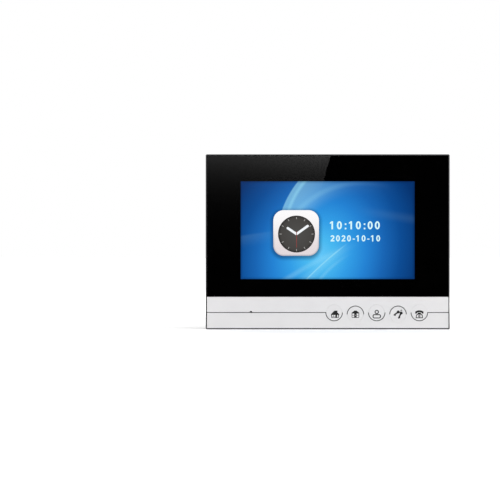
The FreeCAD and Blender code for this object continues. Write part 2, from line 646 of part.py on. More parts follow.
def switch_lever():
    """Lever of the slide switch."""
    x0, x1 = SIDE_X[1] - 2.4, X_HALF - 0.5
    lever = centred((x0 + x1) / 2, LEVER_Z, x1 - x0, LEVER_W, SWITCH_MID_Y - 0.8, SWITCH_MID_Y + 0.8)
    return lever.makeFillet(0.3, [e for e in lever.Edges if e.BoundBox.XMin > x1 - 0.1])


def card_socket():
    """Steel shell that guides the memory card."""
    sheet, bay_gap, half_h, x1 = 0.4, 0.15, 14.2, SIDE_X[1] - 0.4
    x0 = CARD_OUT_X - CARD_L - 0.8
    half_bay = CARD_W / 2 + bay_gap
    case = block(x0, x1, BOARD_BACK_Y, CARD_Y + CARD_T + 0.7, CARD_Z - half_h, CARD_Z + half_h)
    bay = block(x0 + sheet, x1 + PAST, CARD_Y - bay_gap, CARD_Y + CARD_T + bay_gap,
                CARD_Z - half_bay, CARD_Z + half_bay)
    window = centred(x0 + 17.0, CARD_Z, 14.0, 12.0, CARD_Y + CARD_T, CARD_Y + CARD_T + PAST)
    return case.cut([bay, rounded(window, 2.0)])


def memory_card():
    """Full-size memory card with its cut corner."""
    x0, cut = CARD_OUT_X - CARD_L, 4.0
    z0, z1 = CARD_Z - CARD_W / 2, CARD_Z + CARD_W / 2
    outline = [(x0, z0), (CARD_OUT_X, z0), (CARD_OUT_X, z1), (x0 + cut, z1), (x0, z1 - cut), (x0, z0)]
    face = Part.Face(Part.makePolygon([V(x, CARD_Y, z) for x, z in outline]))
    return face.extrude(V(0, CARD_T, 0))


# ---------------------------------------------------------------- loudspeaker
def speaker_basket():
    """Pressed steel basket of the loudspeaker, facing the wall."""
    flange = disc(SPEAKER_X, SPEAKER_Z, SPEAKER_R, SPEAKER_FLANGE_Y, SPEAKER_SEAL_Y)
    bowl = cone(SPEAKER_X, SPEAKER_Z, 10.2, 16.0, SPEAKER_MAGNET_Y, SPEAKER_FLANGE_Y)
    hollow = cone(SPEAKER_X, SPEAKER_Z, 9.4, 14.6, SPEAKER_MAGNET_Y + 0.6, SPEAKER_SEAL_Y)
    return flange.fuse(bowl).cut(hollow).removeSplitter()


def speaker_magnet():
    """Ring magnet and yoke."""
    front_y = SPEAKER_MAGNET_Y - 2.8
    yoke = disc(SPEAKER_X, SPEAKER_Z, MAGNET_R, front_y, SPEAKER_MAGNET_Y)
    return yoke.makeChamfer(0.5, rim_edges(yoke, front_y))


def speaker_cone():
    """Paper cone with its surround and dust cap."""
    r_in, r_out, deep, paper = 5.0, 13.8, 3.0, 0.5
    base_y = SPEAKER_SEAL_Y - 2.8
    skin = cone(SPEAKER_X, SPEAKER_Z, r_in, r_out, base_y, base_y + deep)
    hollow = cone(SPEAKER_X, SPEAKER_Z, r_in, r_out, base_y + paper, base_y + paper + deep)
    surround = tube(SPEAKER_X, SPEAKER_Z, r_out + 1.7, r_out - BITE, SPEAKER_SEAL_Y, SPEAKER_SEAL_Y + 0.4)
    ball_r, cap_r = 6.0, 4.4
    ball = Part.makeSphere(ball_r, V(SPEAKER_X, base_y + 2.2 - ball_r, SPEAKER_Z))
    cap = ball.common(disc(SPEAKER_X, SPEAKER_Z, cap_r, base_y, FLOOR_Y))
    return skin.cut(hollow).fuse([surround, cap]).removeSplitter()


def speaker_gasket():
    """Foam ring between the loudspeaker and the rear wall."""
    return tube(SPEAKER_X, SPEAKER_Z, SPEAKER_R - 0.3, 15.6, SPEAKER_SEAL_Y, FLOOR_Y)


def speaker_screws():
    """Two wide-headed screws that clamp the loudspeaker's flange."""
    return group([screw(x, z, SPEAKER_FLANGE_Y, 2.8, towards=1, head_r=3.6) for x, z in SPEAKER_POSTS])


def speaker_wires():
    """Two leads and a plug from the loudspeaker to the main board."""
    half_gap, plug_w, plug_h, plug_t = 0.9, 5.0, 7.0, 3.0
    plug_x, plug_z = MAIN_X[0] + 1.5, SPEAKER_Z + 2.0
    magnet_edge_x, low_y, high_y = SPEAKER_X + MAGNET_R, BOARD_BACK_Y + 0.2, BOARD_BACK_Y + 2.0
    leads = []
    for dz in (-half_gap, half_gap):
        way = [(magnet_edge_x, low_y, SPEAKER_Z + dz), (magnet_edge_x + 4.0, low_y + 0.8, SPEAKER_Z + dz),
               (plug_x, high_y, plug_z + dz)]
        leads.append(round_wire(way, (1, 0, 0), (1, 0, 0)))
    plug = centred(plug_x + plug_w / 2, plug_z, plug_w, plug_h, BOARD_BACK_Y, BOARD_BACK_Y + plug_t)
    return group(leads + [plug])


# ---------------------------------------------------------------- rear cover
def grille_slots():
    """Slots in front of the loudspeaker, clipped to a circle."""
    pitch, slot_r, reach, rows = 3.2, 0.8, 14.0, 9
    slots = []
    for i in range(rows):
        dz = (i - (rows - 1) / 2) * pitch
        length = 2 * math.sqrt(reach ** 2 - dz ** 2)
        slots.append(slot_x(SPEAKER_X, SPEAKER_Z + dz, length, slot_r, FLOOR_Y - PAST, 0))
    return slots


def vent_slots():
    """Upright ventilation slots near the top and the bottom of the rear wall."""
    row_z, pitch, count, w, h = 58.0, 7.0, 13, 2.2, 14.0
    slots = []
    for z in (row_z, -row_z):
        for i in range(count):
            x = (i - (count - 1) / 2) * pitch
            slots.append(rounded(centred(x, z, w, h, FLOOR_Y - PAST, 0), w / 2 - RUN_GAP))
    return slots


def side_openings():
    """Openings in the right-hand wall for the wheels, the lever and the card, with a finger notch."""
    gap, wheel_half, notch_r, notch_deep = 0.35, 7.4, 9.0, 1.2
    x0, x1 = COVER_X - COVER_T - PAST, COVER_X + PAST
    openings = [block(x0, x1, WHEEL_Y - gap, WHEEL_Y + WHEEL_T + gap, z - wheel_half, z + wheel_half)
                for z in WHEEL_ZS.values()]
    openings.append(lever_track(x0, 0.3, 0.4))
    openings.append(block(x0, x1, CARD_Y - gap, CARD_Y + CARD_T + gap, CARD_Z - CARD_W / 2 - gap,
                          CARD_Z + CARD_W / 2 + gap))
    notch_x, notch_side = COVER_X + notch_r - notch_deep, 3.0
    openings.append(disc(notch_x, CARD_Z, notch_r, CARD_Y - notch_side, CARD_Y + CARD_T + notch_side))
    return openings


def cover_lip():
    """Rim that plugs into the front frame, notched round the corner bosses."""
    lip_x, lip_z, lip_y = X_HALF - SKIRT_T - 0.2, Z_HALF - SKIRT_T - 0.2, COVER_FRONT_Y - 2.7
    lip = rounded(centred(0, 0, 2 * lip_x, 2 * lip_z, lip_y, COVER_FRONT_Y + BITE), SKIRT_R)
    inside = centred(0, 0, 2 * (COVER_X - COVER_T - 0.2), 2 * (COVER_Z - COVER_T - 0.2), lip_y,
                     COVER_FRONT_Y + BITE)
    return lip.cut([inside] + discs(CORNERS, 3.6, lip_y - PAST, COVER_FRONT_Y + PAST))


def cover_posts():
    """Posts inside the rear cover for its own screws, the boards and the loudspeaker."""
    root_y = FLOOR_Y + BITE
    posts = discs(CORNERS, 4.5, BOARD_Y - BITE, root_y)
    posts += discs(BOARD_POSTS, 2.6, BOARD_BACK_Y, root_y)
    return posts + discs(SPEAKER_POSTS, 2.5, SPEAKER_FLANGE_Y, root_y)


def cover_holes():
    """Screw holes, hook slots and the window over the cable sockets."""
    small_r = SMALL_SCREW_R + RUN_GAP
    seat_y = BOARD_Y + 2.8
    holes = discs(CORNERS, COVER_SCREW_R + 3 * RUN_GAP, BOARD_Y - PAST, seat_y + PAST)
    holes += discs(CORNERS, 3.3, seat_y, 0)
    holes += discs(BOARD_POSTS, small_r, BOARD_BACK_Y - PAST, BOARD_BACK_Y + 5.0)
    holes += discs(SPEAKER_POSTS, small_r, SPEAKER_FLANGE_Y - PAST, FLOOR_Y + 1.0)
    half_slot = HOOK_W / 2 + 0.5
    for sx in SIGNS:
        for z in HOOK_ZS:
            holes.append(block(sx * HOOK_X - half_slot, sx * HOOK_X + half_slot, RECESS_IN_Y - PAST,
                               RECESS_Y + PAST, z - LIFT - 0.6, z + BRACKET_T + RUN_GAP))
    window_x0 = HEADERS[0][0] - header_width(HEADERS[0][1]) / 2 - 1.3
    window_x1 = HEADERS[-1][0] + header_width(HEADERS[-1][1]) / 2 + 1.3
    window = block(window_x0, window_x1, RECESS_IN_Y - PAST, RECESS_Y + PAST, HEADER_Z - 5.0, HEADER_Z + 5.0)
    return holes + [rounded(window, 1.0)]


def rear_cover():
    """Rear shell with the bracket recess, hook slots, cable window, grille and screw posts."""
    corner_r, back_r, recess_r = 4.0, 2.6, 3.0
    outer = rounded(centred(0, 0, 2 * COVER_X, 2 * COVER_Z, COVER_FRONT_Y, COVER_BACK_Y), corner_r)
    outer = outer.makeFillet(back_r, rim_edges(outer, COVER_BACK_Y))
    inner = centred(0, 0, 2 * (COVER_X - COVER_T), 2 * (COVER_Z - COVER_T), COVER_FRONT_Y - PAST, FLOOR_Y)
    inner = rounded(inner, corner_r - SKIRT_R)
    recess_wall = block(-RECESS_X - COVER_T, RECESS_X + COVER_T, RECESS_IN_Y, FLOOR_Y + BITE,
                        RECESS_LOW_Z - COVER_T, RECESS_TOP_Z + COVER_T)
    recess = rounded(block(-RECESS_X, RECESS_X, RECESS_Y, PAST, RECESS_LOW_Z, RECESS_TOP_Z), recess_r)
    body = outer.cut(inner).fuse([recess_wall, cover_lip()] + cover_posts()).cut(recess)
    return body.cut(cover_holes() + grille_slots() + vent_slots() + side_openings()).removeSplitter()


def cover_screws():
    """Four screws that close the housing from behind."""
    return group([screw(x, z, BOARD_Y + 2.8, 8.0, head_r=2.9, head_t=2.0, shank_r=COVER_SCREW_R)
                  for x, z in CORNERS])


def rear_pads():
    """Rubber pads that rest on the wall."""
    return group(discs(PADS, 4.0, COVER_BACK_Y, 0))


# ---------------------------------------------------------------- wall bracket
def bracket_hook(x, z):
    """A hook bent out of the plate: a neck and an upright tongue."""
    x0, x1 = x - HOOK_W / 2, x + HOOK_W / 2
    tongue_back = RECESS_IN_Y - 0.4
    tongue_front = tongue_back - BRACKET_T
    top_z = z + HOOK_RISE
    neck = block(x0, x1, tongue_front, -BRACKET_T / 2, z, z + BRACKET_T)
    tongue = block(x0, x1, tongue_front, tongue_back, z, top_z)
    tongue = tongue.makeChamfer(0.4, [e for e in tongue.Edges if e.BoundBox.ZMin > top_z - 0.1])
    return [neck, tongue]


def wall_bracket():
    """Steel plate that is screwed to the wall and carries the monitor on four hooks."""
    corner_r, rib_x, rib_w, rib_h, blank_h = 4.0, 26.0, 3.0, 0.7, 7.0
    plate = rounded(centred(0, 0, 2 * BRACKET_X, 2 * BRACKET_Z, -BRACKET_T, 0), corner_r)
    ribs = [rounded(centred(sx * rib_x, 19.0, rib_w, 22.0, -BRACKET_T - rib_h, -BRACKET_T + BITE), 1.2)
            for sx in SIGNS]
    cut_y = (-3 * BRACKET_T, PAST)
    cuts = [rounded(block(-CABLE_X, CABLE_X, *cut_y, *CABLE_Z), 3.0)]
    cuts += discs(WALL_SCREWS, WALL_HOLE_R, *cut_y)
    cuts += [slot_x(sx * BOX_SLOT_X, 0, BOX_SLOT_L, BOX_SLOT_R, *cut_y) for sx in SIGNS]
    hooks = []
    half_blank = HOOK_W / 2 + 0.3
    for sx in SIGNS:
        for z in HOOK_ZS:
            hooks += bracket_hook(sx * HOOK_X, z)
            cuts.append(block(sx * HOOK_X - half_blank, sx * HOOK_X + half_blank, *cut_y, z - blank_h, z))
    return plate.fuse(ribs).cut(cuts).fuse(hooks).removeSplitter()


# ---------------------------------------------------------------- the whole object
def keys():
    """Cap and switch plunger of each key."""
    nodes = {}
    for name, (x, z) in zip(KEY_NAMES, key_centres()):
        nodes[name + "_key"] = key_cap(x, z)
        nodes[name + "_plunger"] = plunger(x)
    return nodes


def build_all():
    """Every node of the object by name."""
    nodes = {
        "wall_bracket": wall_bracket(),
        "front_frame": front_frame(),
        "screen_glass": screen_glass(),
        "print_mask": print_mask(),
        "glass_tape": glass_tape(),
        "control_panel": control_panel(),
        "accent_line": group(accent_shapes()),
        "lcd_gasket": lcd_gasket(),
        "lcd_bezel": lcd_bezel(),
        "lcd_panel": lcd_panel(),
        "lcd_backlight": lcd_backlight(),
        "lcd_clamps": lcd_clamps(),
        "lcd_screws": lcd_screws(),
        "lcd_flex": lcd_flex(),
        "flex_socket": flex_socket(),
        "key_board": key_board(),
        "key_switches": key_switches(),
        "key_board_screws": key_board_screws(),
        "key_ribbon": key_ribbon(),
        "microphone": microphone(),
        "mic_boot": mic_boot(),
        "mic_wires": mic_wires(),
        "main_board": board(MAIN_X, MAIN_Z, MAIN_POSTS, 1.5),
        "side_board": board(SIDE_X, SIDE_Z, SIDE_POSTS, 1.0),
        "board_screws": board_screws(),
        "chips": chips(),
        "capacitors": capacitors(),
        "power_coils": power_coils(),
        "cable_sockets": cable_sockets(),
        "socket_pins": socket_pins(),
        "board_link": board_link(),
        "wheel_pots": wheel_pots(),
        "power_switch": power_switch(),
        "switch_lever": switch_lever(),
        "card_socket": card_socket(),
        "memory_card": memory_card(),
        "speaker_basket": speaker_basket(),
        "speaker_magnet": speaker_magnet(),
        "speaker_cone": speaker_cone(),
        "speaker_gasket": speaker_gasket(),
        "speaker_screws": speaker_screws(),
        "speaker_wires": speaker_wires(),
        "rear_cover": rear_cover(),
        "cover_screws": cover_screws(),
        "rear_pads": rear_pads(),
    }
    nodes.update({name: thumbwheel(z) for name, z in WHEEL_ZS.items()})
    nodes.update(keys())
    return nodes


def main():
    """Writes each node as a STEP file."""
    os.makedirs("parts", exist_ok=True)
    for name, shape in build_all().items():
        shape.exportStep(os.path.join("parts", name + ".step"))


main()
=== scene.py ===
import json
import math
import bmesh
import bpy
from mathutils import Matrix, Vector


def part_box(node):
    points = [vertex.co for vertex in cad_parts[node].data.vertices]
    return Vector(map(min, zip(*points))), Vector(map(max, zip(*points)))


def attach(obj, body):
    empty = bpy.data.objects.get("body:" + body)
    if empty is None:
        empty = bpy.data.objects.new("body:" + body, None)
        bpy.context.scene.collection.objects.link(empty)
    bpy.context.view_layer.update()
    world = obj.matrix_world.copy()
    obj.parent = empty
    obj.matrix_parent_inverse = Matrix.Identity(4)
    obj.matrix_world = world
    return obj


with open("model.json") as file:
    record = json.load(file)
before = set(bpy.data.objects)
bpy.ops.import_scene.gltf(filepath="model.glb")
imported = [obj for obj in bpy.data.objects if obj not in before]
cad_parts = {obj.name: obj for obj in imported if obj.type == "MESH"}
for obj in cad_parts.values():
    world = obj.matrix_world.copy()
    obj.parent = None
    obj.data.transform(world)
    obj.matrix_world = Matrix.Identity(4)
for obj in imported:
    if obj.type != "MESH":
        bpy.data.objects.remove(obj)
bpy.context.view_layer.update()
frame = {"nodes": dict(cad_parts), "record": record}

# Looks of the wall-hung video intercom monitor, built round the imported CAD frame.
# Lengths are in metres, and the screen faces -Y.

MM = 0.001
INK_T = 0.02 * MM
CLOTH_T = 0.05 * MM


def inner_window(node):
    """Limits of the opening of a flat frame, as (x0, x1, z0, z1)."""
    low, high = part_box(node)
    edge = 1.0 * MM
    inside = [v.co for v in frame["nodes"][node].data.vertices
              if low.x + edge < v.co.x < high.x - edge and low.z + edge < v.co.z < high.z - edge]
    xs = [co.x for co in inside]
    zs = [co.z for co in inside]
    return min(xs), max(xs), min(zs), max(zs)


PIC_X0, PIC_X1, PIC_Z0, PIC_Z1 = inner_window("print_mask")
PIC_CX = (PIC_X0 + PIC_X1) / 2
PIC_CZ = (PIC_Z0 + PIC_Z1) / 2
PIC_HALF_U = 50.0  # half of the picture's width, in its own units
PIC_UNIT = (PIC_X1 - PIC_X0) / (2 * PIC_HALF_U)
PIC_HALF_V = (PIC_Z1 - PIC_Z0) / 2 / PIC_UNIT
LCD_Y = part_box("lcd_panel")[0].y
PICTURE_Y = LCD_Y - 0.1 * MM
LAYER = 0.04 * MM  # step from one drawn layer of the picture to the next
FRONT_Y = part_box("front_frame")[0].y
FLOOR_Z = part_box("front_frame")[0].z
FRONT_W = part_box("front_frame")[1].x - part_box("front_frame")[0].x


# ---------------------------------------------------------------- shader helpers
class Field:
    """A number that varies over a surface, built from shader math nodes."""

    def __init__(self, tree, socket):
        self.tree = tree
        self.socket = socket

    def math(self, operation, other=0.0):
        """A math node fed by this field and another field or number."""
        node = self.tree.nodes.new("ShaderNodeMath")
        node.operation = operation
        feed(self.tree, node.inputs[0], self)
        feed(self.tree, node.inputs[1], other)
        return Field(self.tree, node.outputs[0])

    def __add__(self, other):
        return self.math("ADD", other)

    def __sub__(self, other):
        return self.math("SUBTRACT", other)

    def __mul__(self, other):
        return self.math("MULTIPLY", other)

    def __truediv__(self, other):
        return self.math("DIVIDE", other)

    def __rsub__(self, other):
        return (self - other) * -1.0

    def fade(self, low, high):
        """0 below low, 1 above high, smooth between; low may be the larger."""
        node = self.tree.nodes.new("ShaderNodeMapRange")
        node.interpolation_type = "SMOOTHSTEP"
        flip = low > high
        feed(self.tree, node.inputs["Value"], self)
        node.inputs["From Min"].default_value = min(low, high)
        node.inputs["From Max"].default_value = max(low, high)
        node.inputs["To Min"].default_value = 1.0 if flip else 0.0
        node.inputs["To Max"].default_value = 0.0 if flip else 1.0
        return Field(self.tree, node.outputs["Result"])

    def spot(self, width):
        """1 where the field is 0, falling smoothly to 0 at a distance of width."""
        return self.math("ABSOLUTE").fade(width, 0.0)

    def between(self, start, end):
        """The field spread from 0..1 to start..end."""
        return self * (end - start) + start


def feed(tree, socket, value):
    """Links a field to a socket, or sets the socket to a number or colour."""
    if isinstance(value, Field):
        tree.links.new(value.socket, socket)
    else:
        socket.default_value = value


def hypot(a, b):
    """Length of the vector (a, b)."""
    return (a * a + b * b).math("SQRT")


def linear(value):
    """Linear light of a screen value 0..255."""
    share = value / 255
    if value < 11:
        return share / 12.92
    return ((share + 0.055) / 1.055) ** 2.4


def srgb(red, green, blue):
    """A linear colour from screen values 0..255."""
    return linear(red), linear(green), linear(blue), 1.0


def grey(level):
    """A neutral linear colour."""
    return (level, level, level, 1.0)


def place(tree, stretch=(1.0, 1.0, 1.0)):
    """Surface position in metres, stretched along each axis."""
    coords = tree.nodes.new("ShaderNodeTexCoord")
    mapping = tree.nodes.new("ShaderNodeMapping")
    mapping.inputs["Scale"].default_value = stretch
    tree.links.new(coords.outputs["Object"], mapping.inputs["Vector"])
    return mapping.outputs["Vector"]


def noise(tree, vector, scale, detail=3.0):
    """Fractal noise, 0..1."""
    node = tree.nodes.new("ShaderNodeTexNoise")
    node.inputs["Scale"].default_value = scale
    node.inputs["Detail"].default_value = detail
    tree.links.new(vector, node.inputs["Vector"])
    return Field(tree, node.outputs["Fac"])


def ramp(tree, factor, stops):
    """Colours that follow a factor; stops are (place, linear colour)."""
    node = tree.nodes.new("ShaderNodeValToRGB")
    elements = node.color_ramp.elements
    while len(elements) < len(stops):
        elements.new(0.5)
    for element, (where, colour) in zip(elements, stops):
        element.position = where
        element.color = colour
    feed(tree, node.inputs["Fac"], factor)
    return Field(tree, node.outputs["Color"])


MIX_A, MIX_B, MIX_OUT = 6, 7, 2  # the colour sockets of a mix node


def mix(tree, factor, a, b):
    """Two colours mixed by a factor."""
    node = tree.nodes.new("ShaderNodeMix")
    node.data_type = "RGBA"
    feed(tree, node.inputs["Factor"], factor)
    feed(tree, node.inputs[MIX_A], a)
    feed(tree, node.inputs[MIX_B], b)
    return Field(tree, node.outputs[MIX_OUT])


def new_material(name):
    """An empty node material with its principled shader."""
    material = bpy.data.materials.new(name)
    material.use_nodes = True
    tree = material.node_tree
    return material, tree, tree.nodes["Principled BSDF"]


def relief(tree, shader, height, depth, strength=0.5):
    """Bumps the surface by a height field, depth metres deep."""
    node = tree.nodes.new("ShaderNodeBump")
    node.inputs["Strength"].default_value = strength
    node.inputs["Distance"].default_value = depth
    feed(tree, node.inputs["Height"], height)
    tree.links.new(node.outputs["Normal"], shader.inputs["Normal"])


EDGE_START, EDGE_FULL = 0.52, 0.58  # pointiness where wear starts and where it is full


def worn_edges(tree):
    """1 on outer edges that hands and cloths rub, 0 elsewhere."""
    geometry = tree.nodes.new("ShaderNodeNewGeometry")
    return Field(tree, geometry.outputs["Pointiness"]).fade(EDGE_START, EDGE_FULL)


def shade_of(colour, gain, lift=0.0):
    """A colour made lighter or darker by a gain, and lifted."""
    return tuple(min(1.0, c * gain + lift) for c in colour[:3]) + (1.0,)


SMUDGE_SIZE = 60  # width of a smudge in grains
SMUDGE_SHARE = 0.6  # the rest of the pattern is grain
ROUGH_SPREAD = 0.08


def moulded(name, colour, rough, grain=2500.0, depth=0.02 * MM, wear=0.25, metallic=0.0,
            stretch=(1, 1, 1), uneven=0.12):
    """A surface with fine grain, broad smudges and slightly worn edges."""
    material, tree, shader = new_material(name)
    vector = place(tree, stretch)
    fine = noise(tree, vector, grain)
    smudge = noise(tree, vector, grain / SMUDGE_SIZE)
    pattern = fine * (1 - SMUDGE_SHARE) + smudge * SMUDGE_SHARE
    body = mix(tree, pattern.fade(0.3, 0.7), shade_of(colour, 1 - uneven), shade_of(colour, 1 + uneven))
    rubbed = shade_of(colour, 1.5, 0.03)
    feed(tree, shader.inputs["Base Color"], mix(tree, worn_edges(tree) * wear, body, rubbed))
    feed(tree, shader.inputs["Roughness"], pattern.between(rough - ROUGH_SPREAD, rough + ROUGH_SPREAD))
    shader.inputs["Metallic"].default_value = metallic
    relief(tree, shader, fine, depth)
    return material


# ---------------------------------------------------------------- materials, one for each slot of the record
def housing_black():
    """Spark-eroded black plastic."""
    return moulded("housing_black", srgb(36, 36, 38), 0.5, grain=1800.0, depth=0.03 * MM)


def panel_silver():
    """Satin silver-white paint with a very fine grain."""
    return moulded("panel_silver", srgb(224, 223, 224), 0.42, grain=3200.0, depth=0.004 * MM, wear=0.0,
                   uneven=0.012)


def accent_dark():
    """Dark filler of the accent line."""
    return moulded("accent_dark", srgb(18, 18, 20), 0.5, grain=3000.0, depth=0.004 * MM, wear=0.0)


GLASS_IOR = 1.5
GLASS_MIRROR = ((GLASS_IOR - 1) / (GLASS_IOR + 1)) ** 2  # share of light the glass mirrors straight on
GLASS_CLEAR = 0.97
SMUDGE_ROUGH = 0.012  # roughness of the glass in the middle of a smudge


def cover_glass():
    """Clear glass: only its reflection and a trace of smudges are seen."""
    material, tree, shader = new_material("cover_glass")
    tree.nodes.remove(shader)
    vector = place(tree)
    clear = tree.nodes.new("ShaderNodeBsdfTransparent")
    clear.inputs["Color"].default_value = grey(GLASS_CLEAR)
    gloss = tree.nodes.new("ShaderNodeBsdfGlossy")
    gloss.inputs["Color"].default_value = grey(1.0)
    feed(tree, gloss.inputs["Roughness"], noise(tree, vector, 40.0).fade(0.45, 0.8) * SMUDGE_ROUGH)
    mirror = tree.nodes.new("ShaderNodeFresnel")
    mirror.inputs["IOR"].default_value = GLASS_IOR
    geometry = tree.nodes.new("ShaderNodeNewGeometry")
    outside = 1.0 - Field(tree, geometry.outputs["Backfacing"])
    blend = tree.nodes.new("ShaderNodeMixShader")
    feed(tree, blend.inputs["Fac"], Field(tree, mirror.outputs["Fac"]) * outside)
    tree.links.new(clear.outputs["BSDF"], blend.inputs[1])
    tree.links.new(gloss.outputs["BSDF"], blend.inputs[2])
    tree.links.new(blend.outputs["Shader"], tree.nodes["Material Output"].inputs["Surface"])
    return material


def black_print():
    """Black ink fired onto the back of the glass, so it has no gloss of its own."""
    material, tree, shader = new_material("black_print")
    cloud = noise(tree, place(tree), 30.0)
    feed(tree, shader.inputs["Base Color"], mix(tree, cloud, grey(0.0002), grey(0.0006)))
    feed(tree, shader.inputs["Roughness"], cloud.between(0.6, 0.8))
    shader.inputs["Specular IOR Level"].default_value = 0.0
    return material


def tape():
    """Grey foam tape."""
    return moulded("tape", grey(0.04), 0.8)


def foam():
    """Open-cell foam."""
    return moulded("foam", grey(0.05), 0.9, grain=1500.0, depth=0.2 * MM, wear=0.0)


def zinc_steel():
    """Zinc-plated sheet with rolling marks and pale spangle."""
    return moulded("zinc_steel", srgb(186, 190, 194), 0.36, grain=700.0, depth=0.01 * MM, metallic=1.0,
                   stretch=(0.08, 1, 1))


def lcd_steel():
    """Bright pressed sheet."""
    return moulded("lcd_steel", srgb(200, 201, 203), 0.3, grain=900.0, depth=0.005 * MM, metallic=1.0,
                   stretch=(1, 1, 0.1))


def lcd_cell():
    """Dark polariser of the display, seen when the picture is off."""
    return moulded("lcd_cell", grey(0.01), 0.3, depth=0.001 * MM, wear=0.0)


def light_guide():
    """White reflector tray."""
    return moulded("light_guide", grey(0.8), 0.5)


def screw_steel():
    """Nickel-plated screws."""
    return moulded("screw_steel", srgb(190, 190, 186), 0.28, metallic=1.0, depth=0.004 * MM)


def cover_screw():
    """Black oxide screws."""
    return moulded("cover_screw", srgb(42, 42, 45), 0.38, metallic=0.9, depth=0.006 * MM, wear=0.8)


def flex():
    """Amber polyimide film."""
    return moulded("flex", srgb(190, 112, 32), 0.3, depth=0.003 * MM)


TRACKS_PER_METRE = 220.0
TRACK_GAP = 0.03


def circuit_board():
    """Green solder resist over fine copper tracks."""
    material, tree, shader = new_material("circuit_board")
    vector = place(tree)
    tracks = tree.nodes.new("ShaderNodeTexBrick")
    tracks.inputs["Scale"].default_value = TRACKS_PER_METRE
    tracks.inputs["Mortar Size"].default_value = TRACK_GAP
    tracks.inputs["Color1"].default_value = srgb(18, 84, 44)
    tracks.inputs["Color2"].default_value = srgb(14, 74, 40)
    tracks.inputs["Mortar"].default_value = srgb(40, 118, 66)
    turn = tree.nodes.new("ShaderNodeMapping")
    turn.inputs["Rotation"].default_value = (math.pi / 2, 0, 0)
    tree.links.new(vector, turn.inputs["Vector"])
    tree.links.new(turn.outputs["Vector"], tracks.inputs["Vector"])
    tree.links.new(tracks.outputs["Color"], shader.inputs["Base Color"])
    feed(tree, shader.inputs["Roughness"], noise(tree, vector, 900.0).between(0.25, 0.4))
    relief(tree, shader, Field(tree, tracks.outputs["Fac"]), 0.03 * MM)
    return material


def switch_plastic():
    """Black switch housings."""
    return moulded("switch_plastic", srgb(44, 44, 46), 0.5)


def plunger_plastic():
    """Cream switch plungers."""
    return moulded("plunger_plastic", srgb(214, 204, 170), 0.45)


def connector_ivory():
    """Ivory nylon of plugs and sockets."""
    return moulded("connector_ivory", srgb(226, 219, 196), 0.45, depth=0.01 * MM)


def mic_can():
    """Drawn aluminium can."""
    return moulded("mic_can", srgb(196, 197, 200), 0.32, metallic=1.0)


def rubber():
    """Black rubber."""
    return moulded("rubber", srgb(34, 34, 35), 0.78, grain=2200.0, depth=0.04 * MM, wear=0.1)


def wire():
    """Red lead insulation."""
    return moulded("wire", srgb(176, 30, 26), 0.4, depth=0.004 * MM)


def chip():
    """Black epoxy packages."""
    return moulded("chip", srgb(36, 36, 38), 0.55)


def capacitor():
    """Aluminium cans."""
    return moulded("capacitor", srgb(192, 194, 198), 0.3, metallic=1.0)


def pin_metal():
    """Gold-plated pins."""
    return moulded("pin_metal", srgb(222, 190, 110), 0.25, metallic=1.0)


def lever_black():
    """Black moulded wheels and lever, polished by fingers on their ridges."""
    return moulded("lever_black", srgb(40, 40, 42), 0.42, depth=0.01 * MM, wear=0.6)


def card_blue():
    """Dark blue card without a label."""
    return moulded("card_blue", srgb(34, 52, 104), 0.4, grain=2600.0, depth=0.01 * MM)


def speaker_steel():
    """Lacquered steel."""
    return moulded("speaker_steel", srgb(92, 94, 98), 0.35, metallic=0.8)


def paper_cone():
    """Pressed black paper."""
    return moulded("paper_cone", srgb(60, 57, 54), 0.85, grain=1200.0, depth=0.06 * MM, wear=0.0)


SLOT_MATERIALS = (housing_black, panel_silver, accent_dark, cover_glass, black_print, tape, foam, zinc_steel,
                  lcd_steel, lcd_cell, light_guide, screw_steel, cover_screw, flex, circuit_board,
                  switch_plastic, plunger_plastic, connector_ivory, mic_can, rubber, wire, chip, capacitor,
                  pin_metal, lever_black, card_blue, speaker_steel, paper_cone)


def dress_cad_nodes():
    """Gives every CAD node the material of its slot and smooth shading between sharp edges."""
    made = {make.__name__: make() for make in SLOT_MATERIALS}
    for row in frame["record"]["subparts"]:
        piece = frame["nodes"][row["node"]]
        piece.data.materials.clear()
        piece.data.materials.append(made[row["material_slot"]])
        piece.data.polygons.foreach_set("use_smooth", [True] * len(piece.data.polygons))
        piece.data.set_sharp_from_angle(angle=math.radians(30))


# ---------------------------------------------------------------- flat shapes, as loops of (x, z) points
def arc(x, z, r, start, end, steps=16, tall=1.0):
    """Points on a circle from one angle to another, in degrees; tall stretches it in height."""
    angles = [math.radians(start + (end - start) * i / steps) for i in range(steps + 1)]
    return [(x + r * math.cos(a), z + tall * r * math.sin(a)) for a in angles]


def circle(x, z, r, steps=48, tall=1.0):
    """A round loop."""
    return arc(x, z, r, 0, 360, steps, tall)[:-1]


def box(x, z, w, h):
    """A rectangular loop round (x, z)."""
    left, right = x - w / 2, x + w / 2
    low, top = z - h / 2, z + h / 2
    return [(left, low), (right, low), (right, top), (left, top)]


def round_box(x, z, w, h, r):
    """A rectangular loop with round corners."""
    corners = box(x, z, w - 2 * r, h - 2 * r)
    outline = []
    for (cx, cz), start in zip(corners, (180, 270, 0, 90)):
        outline += arc(cx, cz, r, start, start + 90, 10)
    return outline


def turned(points, degrees, x, z):
    """Points turned about the origin, then moved to (x, z)."""
    cos, sin = math.cos(math.radians(degrees)), math.sin(math.radians(degrees))
    return [(x + px * cos - pz * sin, z + px * sin + pz * cos) for px, pz in points]


def bar(x, z, length, w, angle, back=0.0):
    """A hand-like bar with round ends from (x, z), angle degrees clockwise from up."""
    outline = arc(-back, 0, w / 2, 90, 270, 8) + arc(length, 0, w / 2, -90, 90, 8)
    return turned(outline, 90 - angle, x, z)


WELD = 0.001  # points nearer than this, in a drawing's units, become one


